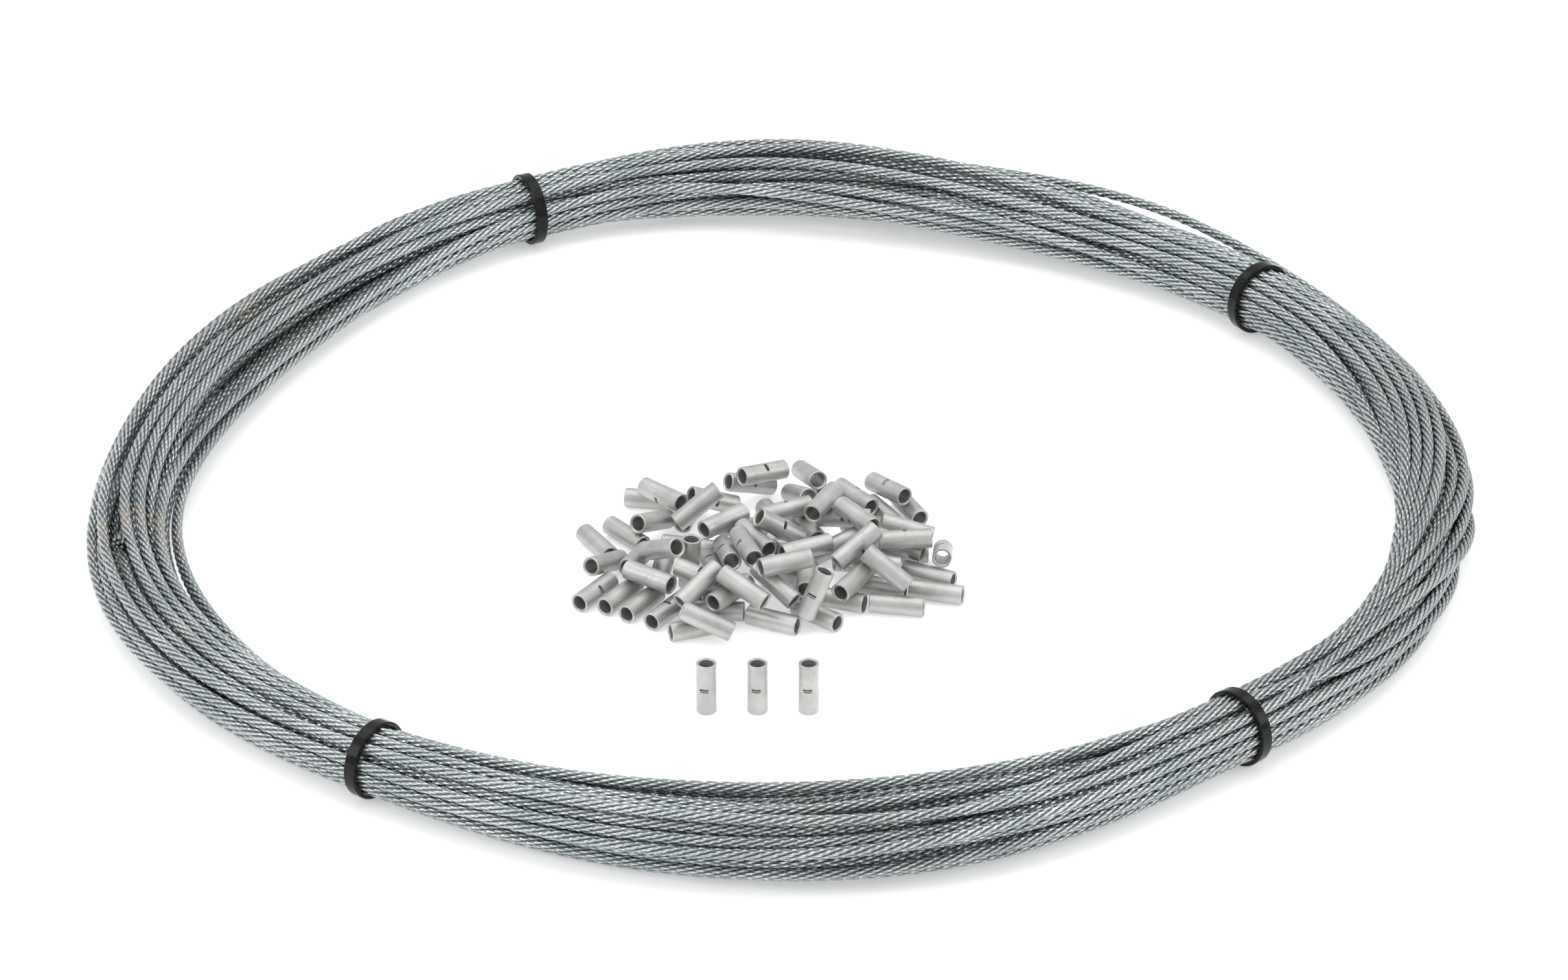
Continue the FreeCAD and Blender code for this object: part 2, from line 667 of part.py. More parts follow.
def make_heap(pattern):
    """Sleeves that can be picked off first are nodes of their own, the rest a node for each tier."""
    tiers = pile_up()
    everyone = [pose for tier in tiers for pose in tier]
    print("heap of", len(everyone), "highest middle", round(max(p.z for p in everyone), 1))
    edge = [pose for pose in everyone if lies_alone(pose, everyone)]
    top = [pose for pose in tiers[-1] if lies_uncovered(pose, everyone)]
    nodes = single_sleeves("edge_sleeve", edge, pattern)
    nodes += single_sleeves("top_sleeve", top, pattern)
    for name, tier in zip(("ground", "middle", "top"), tiers):
        buried = [pose for pose in tier if pose not in edge and pose not in top]
        nodes.append(sleeve_group(f"heap_{name}_tier", buried, pattern))
    return nodes


def single_sleeves(stem, poses, pattern):
    nodes = []
    for number, pose in enumerate(sorted(poses, key=lambda pose: pose.x), start=1):
        nodes.append(place_sleeve(f"{stem}_{number:02d}", pattern, sleeve_placement(pose)))
    return nodes


def sleeve_group(name, poses, pattern):
    shapes = []
    for pose in poses:
        shape = pattern.Shape.copy()
        shape.Placement = sleeve_placement(pose)
        shapes.append(shape)
    group = doc.addObject("Part::Feature", name)
    group.Shape = Part.makeCompound(shapes)
    group.Label = name
    return group


def make_upright_sleeves(pattern):
    nodes = []
    for name, x, y, turn in UPRIGHT_SLEEVES:
        place = Placement(Vector(x, y, size("sleeve_length") / 2), Rotation(Vector(0, 0, 1), turn))
        nodes.append(place_sleeve(name, pattern, place))
    return nodes


# ---- the model -------------------------------------------------------------------------------
coil = make_coil()
nodes = [coil, make_loose_turn()]
for tie in TIES:
    nodes.append(make_tie(*tie))
    nodes.append(make_pawl(*tie))
sleeve = make_sleeve()
doc.recompute()
nodes += make_upright_sleeves(sleeve)
nodes += make_heap(sleeve)
doc.recompute()

for item in doc.Objects:
    if "Invalid" in item.State or "Error" in item.State:
        raise RuntimeError(item.Label + " failed: " + str(item.State))
for node in nodes:
    if node.Shape.isNull() or not node.Shape.isValid():
        raise RuntimeError(node.Label + " has no valid shape")
for node in nodes:
    node.Shape.exportStep(f"parts/{node.Label}.step")
    print(node.Label, len(node.Shape.Solids), "solids", round(node.Shape.Volume), "mm3")
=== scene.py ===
"""Looks of a tied coil of galvanised wire rope with a heap of tubular crimp sleeves inside it."""

import math

import bpy
import numpy as np
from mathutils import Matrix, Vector


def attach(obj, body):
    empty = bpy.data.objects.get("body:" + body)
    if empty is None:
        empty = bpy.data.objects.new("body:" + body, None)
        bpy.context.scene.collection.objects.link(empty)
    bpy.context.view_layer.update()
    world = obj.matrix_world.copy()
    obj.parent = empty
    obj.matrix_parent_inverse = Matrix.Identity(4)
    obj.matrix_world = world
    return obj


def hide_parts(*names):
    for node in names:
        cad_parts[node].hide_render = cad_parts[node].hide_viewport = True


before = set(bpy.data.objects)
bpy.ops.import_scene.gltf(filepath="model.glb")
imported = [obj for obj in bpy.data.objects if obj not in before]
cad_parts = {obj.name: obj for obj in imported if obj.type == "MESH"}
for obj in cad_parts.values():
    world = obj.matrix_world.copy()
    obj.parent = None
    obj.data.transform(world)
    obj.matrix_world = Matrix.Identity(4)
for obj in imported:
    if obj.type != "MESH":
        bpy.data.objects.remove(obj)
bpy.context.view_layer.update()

MM = 0.001

# ---- camera ----------------------------------------------------------------------------------
CAMERA_DISTANCE = 2.0
CAMERA_ELEVATION = math.radians(30.0)
CAMERA_AIM = Vector((0.0, 0.0, 0.008))
SENSOR_WIDTH = 36.0
PICTURE_WIDTH = 2420
FOCAL_PIXELS = 11000


def make_camera():
    data = bpy.data.cameras.new("camera")
    data.sensor_width = SENSOR_WIDTH
    data.lens = SENSOR_WIDTH * FOCAL_PIXELS / PICTURE_WIDTH
    data.clip_start, data.clip_end = 0.05, 50.0
    camera = bpy.data.objects.new("camera", data)
    bpy.context.scene.collection.objects.link(camera)
    back = Vector((0.0, -math.cos(CAMERA_ELEVATION), math.sin(CAMERA_ELEVATION)))
    camera.location = CAMERA_AIM + back * CAMERA_DISTANCE
    camera.rotation_mode = "QUATERNION"
    camera.rotation_quaternion = (-back).to_track_quat("-Z", "Y")
    bpy.context.scene.camera = camera


make_camera()

# ---- rope: facts -----------------------------------------------------------------------------
ROPE_DIAMETER = 0.0032
ROPE_LAY = 0.0244           # one whole turn of a strand, left hand
STRANDS = 6
TURNS = 26
TIED_BUNDLE = 0.0190
REST_SINK = 0.0004
TIE_LIFT = 0.00145          # of the tied bundle off the ground, by the strap under it
LIFT_REACH = 18.0           # degrees from a tie at which the bundle has come down to the ground

# The ties: azimuth and radius of the bundle's centre there, the rope's stations in the slack span
# after it, and the twist of the bundle there (degrees, and the shares of the span it starts and
# ends at).
TIES = [
    (37.9, 0.1765, 15, (25.0, 0.1, 0.9)),
    (115.0, 0.1812, 24, (-40.0, 0.1, 0.9)),
    (233.6, 0.1813, 16, (20.0, 0.1, 0.9)),
    (312.8, 0.1771, 17, (-125.0, 0.18, 0.72)),
]

# The slack bundle between the ties, in mm: azimuth, centre radius, radial width and height.
SLACK_SECTIONS = [
    (47, 175.4, 20.5, 20.4), (56, 175.0, 24.0, 21.6), (65, 175.8, 30.0, 23.4),
    (75, 176.8, 35.0, 25.4), (85, 179.2, 35.0, 26.0), (96, 181.9, 29.6, 24.0),
    (105, 183.0, 22.5, 20.8),
    (125, 179.4, 21.5, 19.8), (135, 176.7, 27.5, 20.8), (145, 174.7, 32.0, 21.0),
    (156, 174.6, 32.0, 21.0), (166, 176.0, 30.0, 20.8), (176, 178.3, 28.0, 20.4),
    (187, 182.7, 28.8, 20.2), (198, 184.1, 28.4, 20.0), (210, 183.3, 26.8, 20.0),
    (222, 182.5, 21.9, 19.6),
    (243, 180.3, 21.6, 20.6), (253, 181.8, 25.6, 23.0), (264, 182.2, 28.6, 24.0),
    (276, 184.0, 31.0, 25.6), (288, 182.3, 30.4, 26.0), (297, 178.3, 25.4, 24.0),
    (305, 175.8, 21.2, 20.8),
    (322, 178.8, 19.4, 19.4), (332, 181.0, 19.7, 19.7), (342, 181.8, 20.4, 20.4),
    (350, 182.2, 24.8, 20.8), (358, 182.5, 27.4, 21.0), (368, 180.9, 24.9, 20.8),
    (379, 180.2, 24.6, 20.4), (389, 178.0, 19.4, 19.4),
]
STATIONS = sum(tie[2] for tie in TIES)
START_STATION = 22          # the hidden end, low in the left span
START_END = (0.1746, 0.0030)
END_STATION = 31            # the visible cut end, on top of the left span
CUT_END = (0.1884, 0.0177)  # its radius and height

# The stretch of the outermost turn that passes outside the back right tie, as in the CAD part:
# azimuth, radius, height.
LOOSE_TURN = [
    (20.0, 0.1900, 0.0120), (28.5, 0.1898, 0.0122), (37.6, 0.1900, 0.0126),
    (45.0, 0.1905, 0.0140), (53.5, 0.1920, 0.0155), (62.3, 0.1903, 0.0164),
    (70.0, 0.1883, 0.0164),
]

ROPE_STATIONS = TURNS * STATIONS + END_STATION - START_STATION + 1
LOOSE_SIDE = (0.98, 0.15)   # outward and upward parts of where the loose stretch leaves the bundle
SWAY = 0.22                 # how far a turn bows out of its lane, as a share of the room
RELAX_STEPS = 240
AIM_PULL = 0.04
EVEN_SHARE = 0.5
SPACING = 1.02              # between centrelines, in rope diameters
ROUTE_STEPS = 8             # points along each of the centreline's segments
PACK_STEPS = 1500
PACK_PUSH = 0.35
GOLDEN_ANGLE = math.pi * (3 - math.sqrt(5))
CLEAR_OF_GROUND = np.array([0.0, 1.0])
LANE_JITTER = 0.24          # how freely ropes change places, as a share of the room in a tie
PUSHES = 3                  # times the turns push each other aside at each step
PUSH = 0.45

rng = np.random.default_rng(4)


# ---- rope: the bundle's room -----------------------------------------------------------------
def bundle_room():
    """Azimuth, centre radius, level and the two semi-axes of the bundle at each station."""
    known = [(azimuth, radius * MM, width * MM, height * MM)
             for azimuth, radius, width, height in SLACK_SECTIONS]
    known += [(azimuth, radius, TIED_BUNDLE, TIED_BUNDLE) for azimuth, radius, *_ in TIES]
    known = np.array(sorted(known))
    rows = []
    for index, (azimuth, _, count, _) in enumerate(TIES):
        sweep = (TIES[(index + 1) % len(TIES)][0] - azimuth) % 360
        for step in range(count):
            here = azimuth + sweep * step / count
            centre, width, height = (np.interp(here, known[:, 0], known[:, column], period=360)
                                     for column in (1, 2, 3))
            away = smooth(min(step, count - step) / count * sweep / LIFT_REACH)
            level = height / 2 + TIE_LIFT * (1 - away) - REST_SINK * away
            rows.append((here, centre, level, width / 2, height / 2))
    return np.array(rows)


def smooth(share):
    share = np.clip(share, 0, 1)
    return share * share * (3 - 2 * share)


ROOM = bundle_room()
ROOM[:, 3:] -= ROPE_DIAMETER / 2
TIE_STATIONS = np.cumsum([0] + [tie[2] for tie in TIES[:-1]])


# ---- rope: how the turns lie -----------------------------------------------------------------
def apart(places, present, spacing, strength):
    """Moves places (passes, stations, 2) that are nearer than spacing away from each other."""
    gap = places[:, None] - places[None]
    distance = np.linalg.norm(gap, axis=-1) + 1e-9
    near = np.clip(spacing - distance, 0, None)
    near *= present[:, None] & present[None]
    near[np.arange(len(places)), np.arange(len(places))] = 0
    return places + strength * (gap * (near / distance)[..., None]).sum(1)


def within(places, room):
    """Brings places outside the bundle's ellipse at their station back to its rim, and any rope
    that would dip under the ground up onto it."""
    centre, semi = room[:, 1:3], room[:, 3:5]
    local = (places - centre) / semi
    out = np.maximum(np.linalg.norm(local, axis=-1, keepdims=True), 1.0)
    inside = centre + local / out * semi
    inside[..., 1] = np.maximum(inside[..., 1], ROPE_DIAMETER / 2)
    return inside


def packed_slots(count):
    """Places of the ropes side by side inside a tie, as shares of the room there."""
    reach = ROOM[0, 3]
    order = np.arange(count) + 0.5
    angle = order * GOLDEN_ANGLE
    spots = (np.sqrt(order / count) * reach * np.array([np.cos(angle), np.sin(angle)])).T
    spots = spots + CLEAR_OF_GROUND
    everyone = np.ones((count, 1), bool)
    disc = np.array([[0, *CLEAR_OF_GROUND, reach, reach]])
    for _ in range(PACK_STEPS):
        spots = within(apart(spots[:, None], everyone, ROPE_DIAMETER, PACK_PUSH), disc)[:, 0]
    return (spots - CLEAR_OF_GROUND) / reach


def turned(spots, degrees):
    angle = math.radians(degrees)
    cosine, sine = math.cos(angle), math.sin(angle)
    return spots @ np.array([[cosine, sine], [-sine, cosine]])


def seated(spots, slots):
    """Which slot each spot takes, one each, so that the moves are short."""
    cost = ((spots[:, None] - slots[None]) ** 2).sum(-1)
    chosen = np.arange(len(slots))
    better = True
    while better:
        better = False
        for a in range(len(slots)):
            for b in range(a):
                now = cost[a, chosen[a]] + cost[b, chosen[b]]
                if cost[a, chosen[b]] + cost[b, chosen[a]] < now - 1e-9:
                    chosen[[a, b]] = chosen[[b, a]]
                    better = True
    return chosen


def lane_maps(slots):
    """For each span, the slot at its far tie for each slot at its near one. All of them together
    lead one rope through every slot before it comes back to its first."""
    while True:
        maps = []
        for tie in TIES:
            jitter = rng.normal(0, LANE_JITTER, slots.shape)
            maps.append(seated(turned(slots, tie[3][0]) + jitter, slots))
        slot, visited = 0, 0
        while visited == 0 or slot != 0:
            for chosen in maps:
                slot = chosen[slot]
            visited += 1
        if visited == len(slots):
            return maps


def lane_place(index, way, slot, later, sway):
    """Where a lane from one slot to a later one lies, a share of the way along a span."""
    degrees, begin, end = TIES[index][3]
    settle = turned(later, -degrees) - slot
    bow = sway[0] * math.sin(math.pi * way) + sway[1] * math.sin(2 * math.pi * way)
    local = turned(slot + settle * smooth(way) + bow,
                   degrees * smooth((way - begin) / (end - begin)))
    return local / max(1.0, np.linalg.norm(local))


def wanted_places(slots, maps, first_slot):
    """Where each pass of the rope would lie if nothing else were in its way, and its slot at the
    first tie."""
    places = np.zeros((TURNS + 1, STATIONS, 2))
    slot, starts = first_slot, []
    for turn in range(TURNS + 1):
        starts.append(slot)
        for index, (_, _, count, _) in enumerate(TIES):
            later = maps[index][slot]
            sway = rng.normal(0, SWAY, (2, 2))
            for step in range(count):
                local = lane_place(index, step / count, slots[slot], slots[later], sway)
                row = ROOM[TIE_STATIONS[index] + step]
                places[turn, TIE_STATIONS[index] + step] = row[1:3] + local * row[3:5]
            slot = later
    return places, starts


def slot_under_end(slots, maps):
    """The slot at the first tie whose lane passes nearest the cut end's place."""
    step = END_STATION - TIE_STATIONS[1]
    row = ROOM[END_STATION]
    still = np.zeros((2, 2))
    gaps = []
    for slot in range(len(slots)):
        near, later = slots[maps[0][slot]], slots[maps[1][maps[0][slot]]]
        local = lane_place(1, step / TIES[1][2], near, later, still)
        gaps.append(np.linalg.norm(row[1:3] + local * row[3:5] - CUT_END))
    return int(np.argmin(gaps))


def hold_loose_turn(places, loose_pass):
    """Puts the loose stretch of one pass where it belongs, and returns which stations it holds."""
    azimuths, radii, heights = zip(*LOOSE_TURN)
    held = np.zeros(places.shape[:2], bool)
    for station, row in enumerate(ROOM):
        azimuth = (row[0] + 180) % 360 - 180
        if azimuths[0] - 1 <= azimuth <= azimuths[-1] + 1:
            turn = loose_pass if station < STATIONS // 2 else loose_pass - 1
            places[turn, station] = (np.interp(azimuth, azimuths, radii),
                                     np.interp(azimuth, azimuths, heights))
            held[turn, station] = True
    return held


def evened(path, share):
    """Takes out part of each point's kink, as the rope's stiffness does."""
    calm = path.copy()
    calm[2:-2] = (4 * (path[1:-3] + path[3:-1]) - path[:-4] - path[4:]) / 6
    return path + (calm - path) * share


def settle(places, present, held):
    """Lets the turns push each other aside while each stays smooth and inside the bundle."""
    wanted = places.copy()
    last = START_STATION + ROPE_STATIONS
    for step in range(RELAX_STEPS):
        path = places.reshape(-1, 2)[START_STATION:last]
        aim = wanted.reshape(-1, 2)[START_STATION:last]
        pull = AIM_PULL * (1 - step / RELAX_STEPS)
        path[:] = evened(path + (aim - path) * pull, EVEN_SHARE)
        path[0], path[-1] = START_END, CUT_END
        for _ in range(PUSHES):
            places = apart(places, present, ROPE_DIAMETER * SPACING, PUSH)
            inside = within(places, ROOM)
            places = np.where(held[..., None], wanted, inside)
    return places


def control_points():
    """The rope's control points, from its hidden end to its cut end."""
    slots = packed_slots(TURNS)
    maps = lane_maps(slots)
    places, starts = wanted_places(slots, maps, slot_under_end(slots, maps))
    outermost = int(np.argmax(slots @ np.array(LOOSE_SIDE)))
    loose_pass = starts.index(outermost, 1)
    held = hold_loose_turn(places, loose_pass)
    present = np.zeros(places.shape[0] * STATIONS, bool)
    present[START_STATION:START_STATION + ROPE_STATIONS] = True
    places = settle(places, present.reshape(places.shape[:2]), held)
    points = []
    for index in range(START_STATION, START_STATION + ROPE_STATIONS):
        turn, station = divmod(index, STATIONS)
        if not held[turn, station]:
            radius, height = places[turn, station]
            points.append(on_ring(ROOM[station, 0], radius / math.cos(math.pi / STATIONS), height))
        elif not held[turn - (station == 0), station - 1]:
            points.extend(on_ring(*spot) for spot in LOOSE_TURN)
    return points


def on_ring(azimuth, radius, height):
    angle = math.radians(azimuth)
    return (radius * math.cos(angle), radius * math.sin(angle), height)


def rope_line(points):
    """The rope's centreline: the points along a NURBS spline with those control points."""
    curve = bpy.data.curves.new("rope_route", "CURVE")
    curve.dimensions = "3D"
    spline = curve.splines.new("NURBS")
    spline.points.add(len(points) - 1)
    for point, place in zip(spline.points, points):
        point.co = (*place, 1.0)
    spline.order_u = 3
    spline.use_endpoint_u = True
    spline.resolution_u = ROUTE_STEPS
    route = bpy.data.objects.new("rope_route", curve)
    mesh = bpy.data.meshes.new_from_object(route)
    line = np.array([vertex.co for vertex in mesh.vertices], float)
    bpy.data.objects.remove(route)
    return line


# ---- rope: its strands -----------------------------------------------------------------------
# One strand's bulge round the rope: angle from its crown in degrees, and radius.
STRAND_BULGE = [(-30.0, 0.00090), (-17.0, 0.00146), (0.0, 0.0016), (17.0, 0.00146)]
RING = len(STRAND_BULGE) * STRANDS
STRAND_RADIUS = 0.00053
STRAND_CENTRE = 0.00107
OPEN_LENGTH = 0.011         # of the cut end, where the strands stand apart
OPEN_SPREAD = 0.00042
TUBE_SIDES = 10
TAIL_RINGS = 24             # along the cut end


def along(line):
    """Distance along a line of points, its direction, and two directions across it."""
    lengths = np.concatenate([[0], np.cumsum(np.linalg.norm(np.diff(line, axis=0), axis=1))])
    ahead = np.gradient(line, axis=0)
    ahead /= np.linalg.norm(ahead, axis=1, keepdims=True)
    side = np.cross(ahead, [0, 0, 1.0])
    side /= np.linalg.norm(side, axis=1, keepdims=True)
    return lengths, ahead, side, np.cross(side, ahead)


def tube_faces(rings, sides, first):
    """Corner indices of the four-sided faces round a tube of rings."""
    ring, side = np.meshgrid(np.arange(rings - 1), np.arange(sides), indexing="ij")
    after = (side + 1) % sides
    corners = [ring * sides + side, ring * sides + after,
               (ring + 1) * sides + after, (ring + 1) * sides + side]
    return np.stack(corners, -1).reshape(-1, 4) + first


def rope_body(line, lengths, side, up):
    """Vertices, faces and texture places of the six strands where they lie together."""
    angles, radii = (np.array(column) for column in zip(*STRAND_BULGE))
    around = np.radians((np.arange(STRANDS)[:, None] * 360 / STRANDS + angles).ravel())
    radii = np.tile(radii, STRANDS)
    turn = around[None] + (2 * math.pi / ROPE_LAY) * lengths[:, None]
    offsets = (np.cos(turn)[..., None] * side[:, None] + np.sin(turn)[..., None] * up[:, None])
    verts = line[:, None] + offsets * radii[None, :, None]
    faces = tube_faces(len(line), RING, 0)
    across = np.degrees(around) / (360 / STRANDS)
    low, step = np.meshgrid(np.arange(len(line) - 1), np.arange(RING), indexing="ij")
    first = across[step]
    width = np.diff(np.append(across, across[0] + STRANDS))[step]
    u = np.stack([first, first + width, first + width, first], -1)
    v = np.stack([lengths[low], lengths[low], lengths[low + 1], lengths[low + 1]], -1)
    return verts.reshape(-1, 3), faces, np.stack([u, v / MM], -1).reshape(-1, 2)


def open_strand(line, lengths, side, up, number):
    """One strand of the cut end, standing a little away from the others."""
    share = smooth((lengths - lengths[0]) / (lengths[-1] - lengths[0]))
    reach = STRAND_CENTRE + OPEN_SPREAD * share * rng.uniform(0.4, 1.5)
    turn = number * 2 * math.pi / STRANDS + (2 * math.pi / ROPE_LAY) * lengths
    if number == STRANDS:
        reach = 0 * share
    centre = line + reach[:, None] * (np.cos(turn)[:, None] * side + np.sin(turn)[:, None] * up)
    _, _, across, over = along(centre)
    spin = np.arange(TUBE_SIDES) * 2 * math.pi / TUBE_SIDES
    ring = np.cos(spin)[None, :, None] * across[:, None] + np.sin(spin)[None, :, None] * over[:, None]
    return (centre[:, None] + ring * STRAND_RADIUS).reshape(-1, 3)


def mesh_object(name, verts, faces, corners=None):
    """A smooth mesh of four-sided faces, with texture places at its corners."""
    mesh = bpy.data.meshes.new(name)
    mesh.vertices.add(len(verts))
    mesh.vertices.foreach_set("co", verts.astype(np.float32).ravel())
    mesh.loops.add(faces.size)
    mesh.loops.foreach_set("vertex_index", faces.astype(np.int32).ravel())
    mesh.polygons.add(len(faces))
    mesh.polygons.foreach_set("loop_start", np.arange(0, faces.size, 4, dtype=np.int32))
    mesh.polygons.foreach_set("use_smooth", np.ones(len(faces), bool))
    if corners is not None:
        layer = mesh.uv_layers.new(name="lay")
        layer.uv.foreach_set("vector", corners.astype(np.float32).ravel())
    mesh.update()
    mesh.validate()
    made = bpy.data.objects.new(name, mesh)
    bpy.context.scene.collection.objects.link(made)
    return made


def cap(first, sides):
    """Faces that close a ring with an even number of corners."""
    ring = first + np.arange(sides)
    return np.array([(ring[i], ring[i + 1], ring[-2 - i], ring[-1 - i])
                     for i in range(sides // 2 - 1)])


def make_rope():
    """The whole rope as one mesh, and the line that it follows."""
    line = rope_line(control_points())
    lengths, _, side, up = along(line)
    opening = int(np.searchsorted(lengths, lengths[-1] - OPEN_LENGTH))
    body = slice(0, opening + 1)
    verts, faces, corners = rope_body(line[body], lengths[body], side[body], up[body])
    all_verts, all_faces, all_corners = [verts], [faces, cap(0, RING)], [corners]
    all_corners.append(np.zeros((4 * len(all_faces[-1]), 2)))
    total = len(verts)
    tail = slice(opening - 1, None)
    fine = rope_tail(line[tail], lengths[tail])
    for number in range(STRANDS + 1):
        verts = open_strand(*fine, number)
        rings = len(verts) // TUBE_SIDES
        faces = np.concatenate([tube_faces(rings, TUBE_SIDES, total),
                                cap(total + (rings - 1) * TUBE_SIDES, TUBE_SIDES)])
        all_verts.append(verts)
        all_faces.append(faces)
        all_corners.append(np.zeros((faces.size, 2)))
        total += len(verts)
    made = mesh_object("rope", np.concatenate(all_verts), np.concatenate(all_faces),
                       np.concatenate(all_corners))
    return made, line


def rope_tail(line, lengths):
    """The end of the line with points close together, as along() gives them."""
    close = np.linspace(lengths[0], lengths[-1], TAIL_RINGS)
    points = np.stack([np.interp(close, lengths, line[:, axis]) for axis in range(3)], 1)
    _, _, side, up = along(points)
    return points, close, side, up


rope, rope_path = make_rope()
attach(rope, "coil")
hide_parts("coil", "loose_turn")


# ---- materials -------------------------------------------------------------------------------
class Nodes:
    """A material's node tree, with short ways to add to it."""

    def __init__(self, name):
        self.material = bpy.data.materials.new(name)
        self.material.use_nodes = True
        self.tree = self.material.node_tree
        self.shader = self.tree.nodes["Principled BSDF"]

    def set(self, **values):
        for name, value in values.items():
            self.shader.inputs[name.replace("_", " ")].default_value = value

    def add(self, kind, **inputs):
        node = self.tree.nodes.new(kind)
        for name, value in inputs.items():
            self.feed(node, name.replace("_", " "), value)
        return node

    def feed(self, node, name, value):
        socket = node.inputs[int(name)] if name.isdigit() else node.inputs[name]
        if isinstance(value, bpy.types.NodeSocket):
            self.tree.links.new(value, socket)
        else:
            socket.default_value = value

    def math(self, operation, a, b=0.0, clamp=False):
        node = self.tree.nodes.new("ShaderNodeMath")
        node.operation = operation
        node.use_clamp = clamp
        self.feed(node, "0", a)
        self.feed(node, "1", b)
        return node.outputs[0]

    def place(self):
        return self.add("ShaderNodeTexCoord").outputs["Object"]

    def noise(self, scale, detail=3.0, vector=None):
        node = self.add("ShaderNodeTexNoise", Scale=scale, Detail=detail)
        self.tree.links.new(vector or self.place(), node.inputs["Vector"])
        return node.outputs["Fac"]

    def spread(self, value, low, high, to_low=0.0, to_high=1.0):
        node = self.add("ShaderNodeMapRange", Value=value, From_Min=low, From_Max=high,
                        To_Min=to_low, To_Max=to_high)
        return node.outputs[0]

    def mix(self, share, a, b, blend="MIX"):
        node = self.tree.nodes.new("ShaderNodeMix")
        node.data_type = "RGBA"
        node.blend_type = blend
        self.feed(node, "Factor", share)
        for index, value in ((6, a), (7, b)):
            self.feed(node, str(index), value)
        return node.outputs[2]

    def bump(self, height, distance, strength=1.0, under=None):
        node = self.add("ShaderNodeBump", Height=height, Distance=distance, Strength=strength)
        if under is not None:
            self.tree.links.new(under, node.inputs["Normal"])
        return node.outputs[0]

    def into(self, name, value):
        self.feed(self.shader, name, value)


def galvanised():
    """Zinc-coated wires: fine wires slanting across each strand, with painted shade in the grooves
    between them; dull grey, with painted shade in the valleys between the strands that leaves the
    crowns brighter; a few brown and white stains."""
    n = Nodes("galvanised_rope")
    n.set(Metallic=0.85, IOR=1.5)
    uv = n.add("ShaderNodeUVMap")
    uv.uv_map = "lay"
    split = n.add("ShaderNodeSeparateXYZ", Vector=uv.outputs[0])
    across, along_mm = split.outputs[0], split.outputs[1]
    # painted shade: a mask that is 1 in the valleys between the strands, from the 'lay' texture
    # places
    spot = n.math("FRACT", n.math("ADD", across, 100.5))
    off_crown = n.math("ABSOLUTE", n.math("SUBTRACT", spot, 0.5))
    painted_valley_shade = n.spread(off_crown, 0.20, 0.46)
    # the wire pattern: it drives the bump, and its grooves also get painted shade in the colour
    wires = n.math("ADD", n.math("MULTIPLY", across, 2.6), n.math("MULTIPLY", along_mm, 0.62))
    wave = n.math("ABSOLUTE", n.math("SINE", n.math("MULTIPLY", wires, math.pi)))
    grain = n.noise(2600.0, 2.0)
    patch = n.noise(60.0, 3.0)
    drift = n.noise(9.0, 2.0)
    grey = n.mix(n.spread(patch, 0.35, 0.68), (0.45, 0.50, 0.515, 1), (0.66, 0.705, 0.715, 1))
    grey = n.mix(n.spread(drift, 0.4, 0.62, 0.0, 0.5), grey, (0.47, 0.50, 0.50, 1))
    # painted shade: the colour goes nearly black in the valleys between the strands
    grey = n.mix(n.math("MULTIPLY", painted_valley_shade, 0.92), grey, (0.045, 0.045, 0.042, 1))
    # painted shade: dark lines in the colour in the grooves between the wires
    grey = n.mix(n.spread(wave, 0.0, 0.5, 0.6, 0.0), grey, (0.12, 0.125, 0.125, 1))
    stain = n.math("MULTIPLY", n.spread(n.noise(26.0, 2.0), 0.66, 0.70),
                   n.spread(n.noise(420.0, 3.0), 0.42, 0.56))
    grey = n.mix(n.math("MULTIPLY", stain, 0.8), grey, (0.50, 0.44, 0.37, 1))
    n.into("Base Color", grey)
    n.into("Roughness", n.spread(grain, 0.3, 0.7, 0.24, 0.44))
    lumps = n.bump(grain, 0.00006, 0.6)
    n.into("Normal", n.bump(wave, 0.00012, 0.8, lumps))
    return n.material


def tin():
    """Dull tin plate on copper, with a fine grain and small scuffs."""
    n = Nodes("tinned_copper")
    n.set(Metallic=0.8)
    grain = n.noise(1900.0, 3.0)
    patch = n.noise(160.0, 4.0)
    scuff = n.noise(700.0, 5.0)
    shade = n.mix(n.spread(patch, 0.35, 0.65), (0.44, 0.445, 0.43, 1), (0.54, 0.545, 0.53, 1))
    shade = n.mix(n.spread(scuff, 0.60, 0.72, 0.0, 0.35), shade, (0.33, 0.33, 0.31, 1))
    n.into("Base Color", shade)
    n.into("Roughness", n.spread(n.math("ADD", grain, n.math("MULTIPLY", scuff, 0.4)),
                                 0.45, 0.95, 0.36, 0.56))
    n.into("Normal", n.bump(grain, 0.00003, 0.5, n.bump(patch, 0.00015, 0.35)))
    return n.material


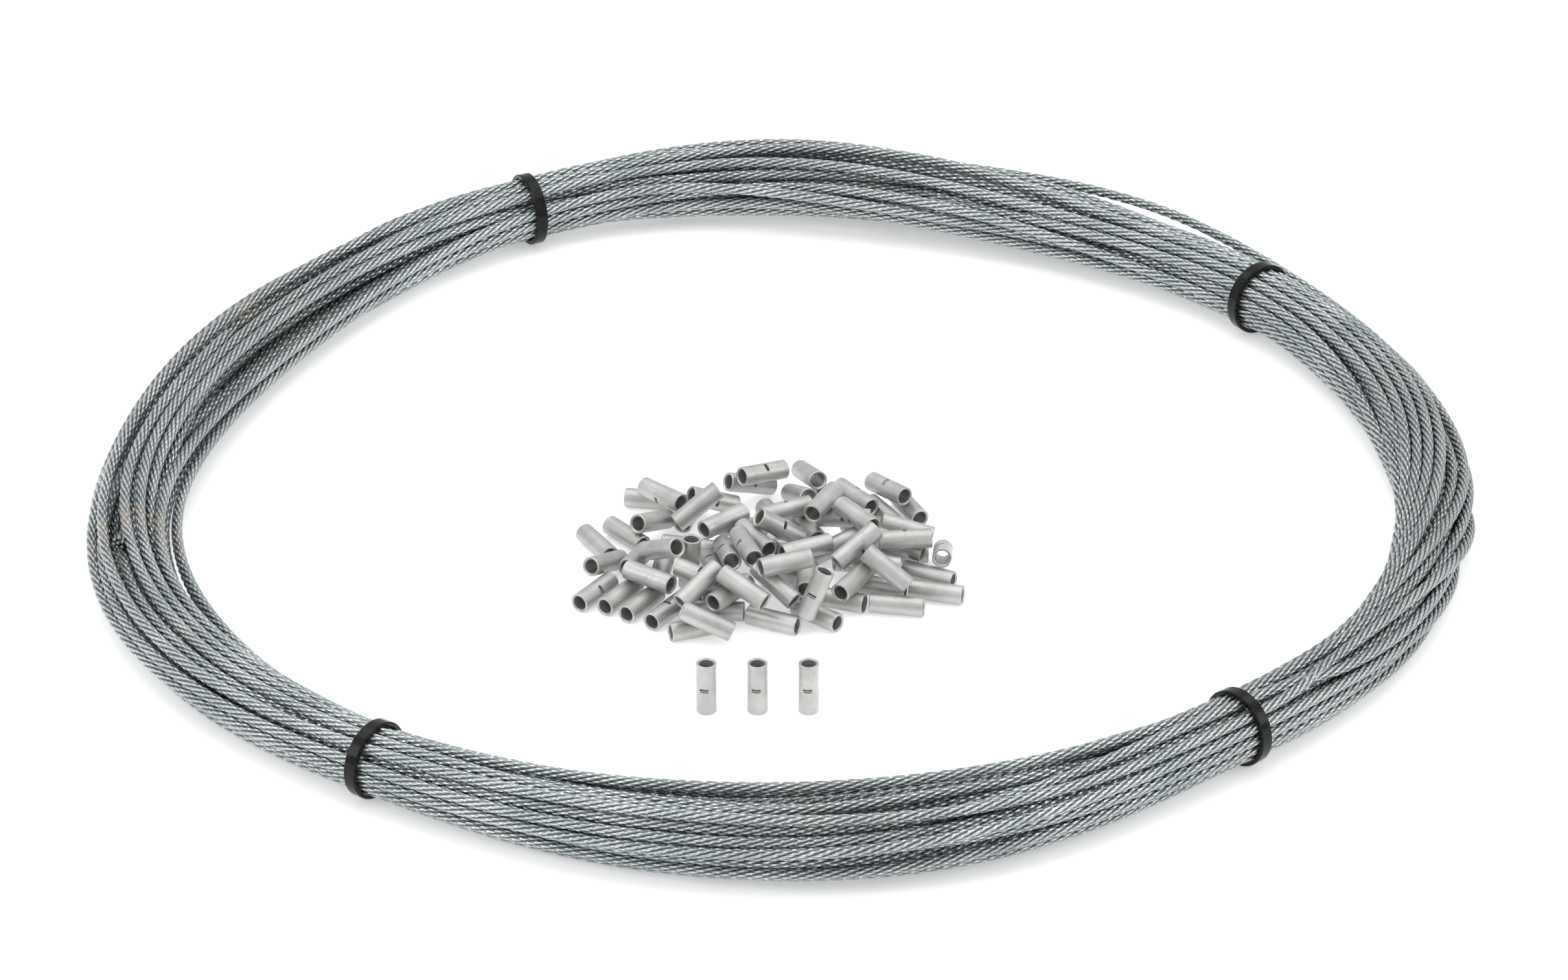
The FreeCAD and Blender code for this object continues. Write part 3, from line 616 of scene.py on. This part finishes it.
def nylon():
    """Moulded black nylon, glossy, with a slightly uneven skin and dust specks."""
    n = Nodes("black_nylon")
    n.set(IOR=1.28)
    skin = n.noise(420.0, 2.0)
    specks = n.spread(n.noise(2600.0, 2.0), 0.70, 0.76)
    shade = n.mix(n.spread(skin, 0.35, 0.65), (0.004, 0.004, 0.0045, 1), (0.009, 0.009, 0.010, 1))
    n.into("Base Color", n.mix(n.math("MULTIPLY", specks, 0.3), shade, (0.16, 0.16, 0.16, 1)))
    n.into("Roughness", n.spread(skin, 0.3, 0.7, 0.12, 0.24))
    n.into("Normal", n.bump(skin, 0.00012, 0.3))
    return n.material


def white_floor():
    n = Nodes("floor")
    # painted light: the floor glows white a little, washing out the shadows cast on it and lighting
    # the coil from below
    n.set(Roughness=0.8, Emission_Color=(1, 1, 1, 1), Emission_Strength=0.35)
    mottle = n.spread(n.noise(3.0, 1.0), 0.3, 0.7)
    n.into("Base Color", n.mix(mottle, (0.90, 0.90, 0.90, 1), (0.92, 0.92, 0.92, 1)))
    return n.material


def dress(objects, material):
    for piece in objects:
        piece.data.materials.clear()
        piece.data.materials.append(material)


NYLON_NAMES = ("tie_", "pawl_")
dress([rope], galvanised())
dress([o for name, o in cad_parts.items() if name.startswith(NYLON_NAMES)], nylon())
dress([o for name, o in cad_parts.items() if "sleeve" in name or name.startswith("heap_")],
      tin())


# ---- floor and light -------------------------------------------------------------------------
FLOOR_HALF = 6.0


def make_floor():
    corners = np.array([(-1, -1, 0), (1, -1, 0), (1, 1, 0), (-1, 1, 0)]) * FLOOR_HALF
    floor = mesh_object("floor", corners, np.array([[0, 1, 2, 3]]))
    dress([floor], white_floor())


def add_softbox(name, place, aim, width, height, power):
    data = bpy.data.lights.new(name, "AREA")
    data.shape = "RECTANGLE"
    data.size, data.size_y, data.energy = width, height, power
    lamp = bpy.data.objects.new(name, data)
    lamp.location = place
    lamp.rotation_mode = "QUATERNION"
    lamp.rotation_quaternion = (Vector(aim) - Vector(place)).to_track_quat("-Z", "Y")
    bpy.context.scene.collection.objects.link(lamp)


def make_light():
    world = bpy.data.worlds.new("studio")
    world.use_nodes = True
    world.node_tree.nodes["Background"].inputs["Color"].default_value = (1.0, 1.0, 1.0, 1)
    world.node_tree.nodes["Background"].inputs["Strength"].default_value = 0.85
    bpy.context.scene.world = world
    add_softbox("overhead", (0.0, 0.25, 1.6), (0, 0, 0), 2.2, 1.8, 14.0)
    add_softbox("left", (-1.5, -0.7, 1.0), (0, 0, 0), 0.9, 0.9, 6.0)
    add_softbox("right", (1.6, -0.4, 0.9), (0, 0, 0), 0.7, 1.0, 5.0)
    bpy.context.scene.view_settings.view_transform = "Standard"


make_floor()
make_light()
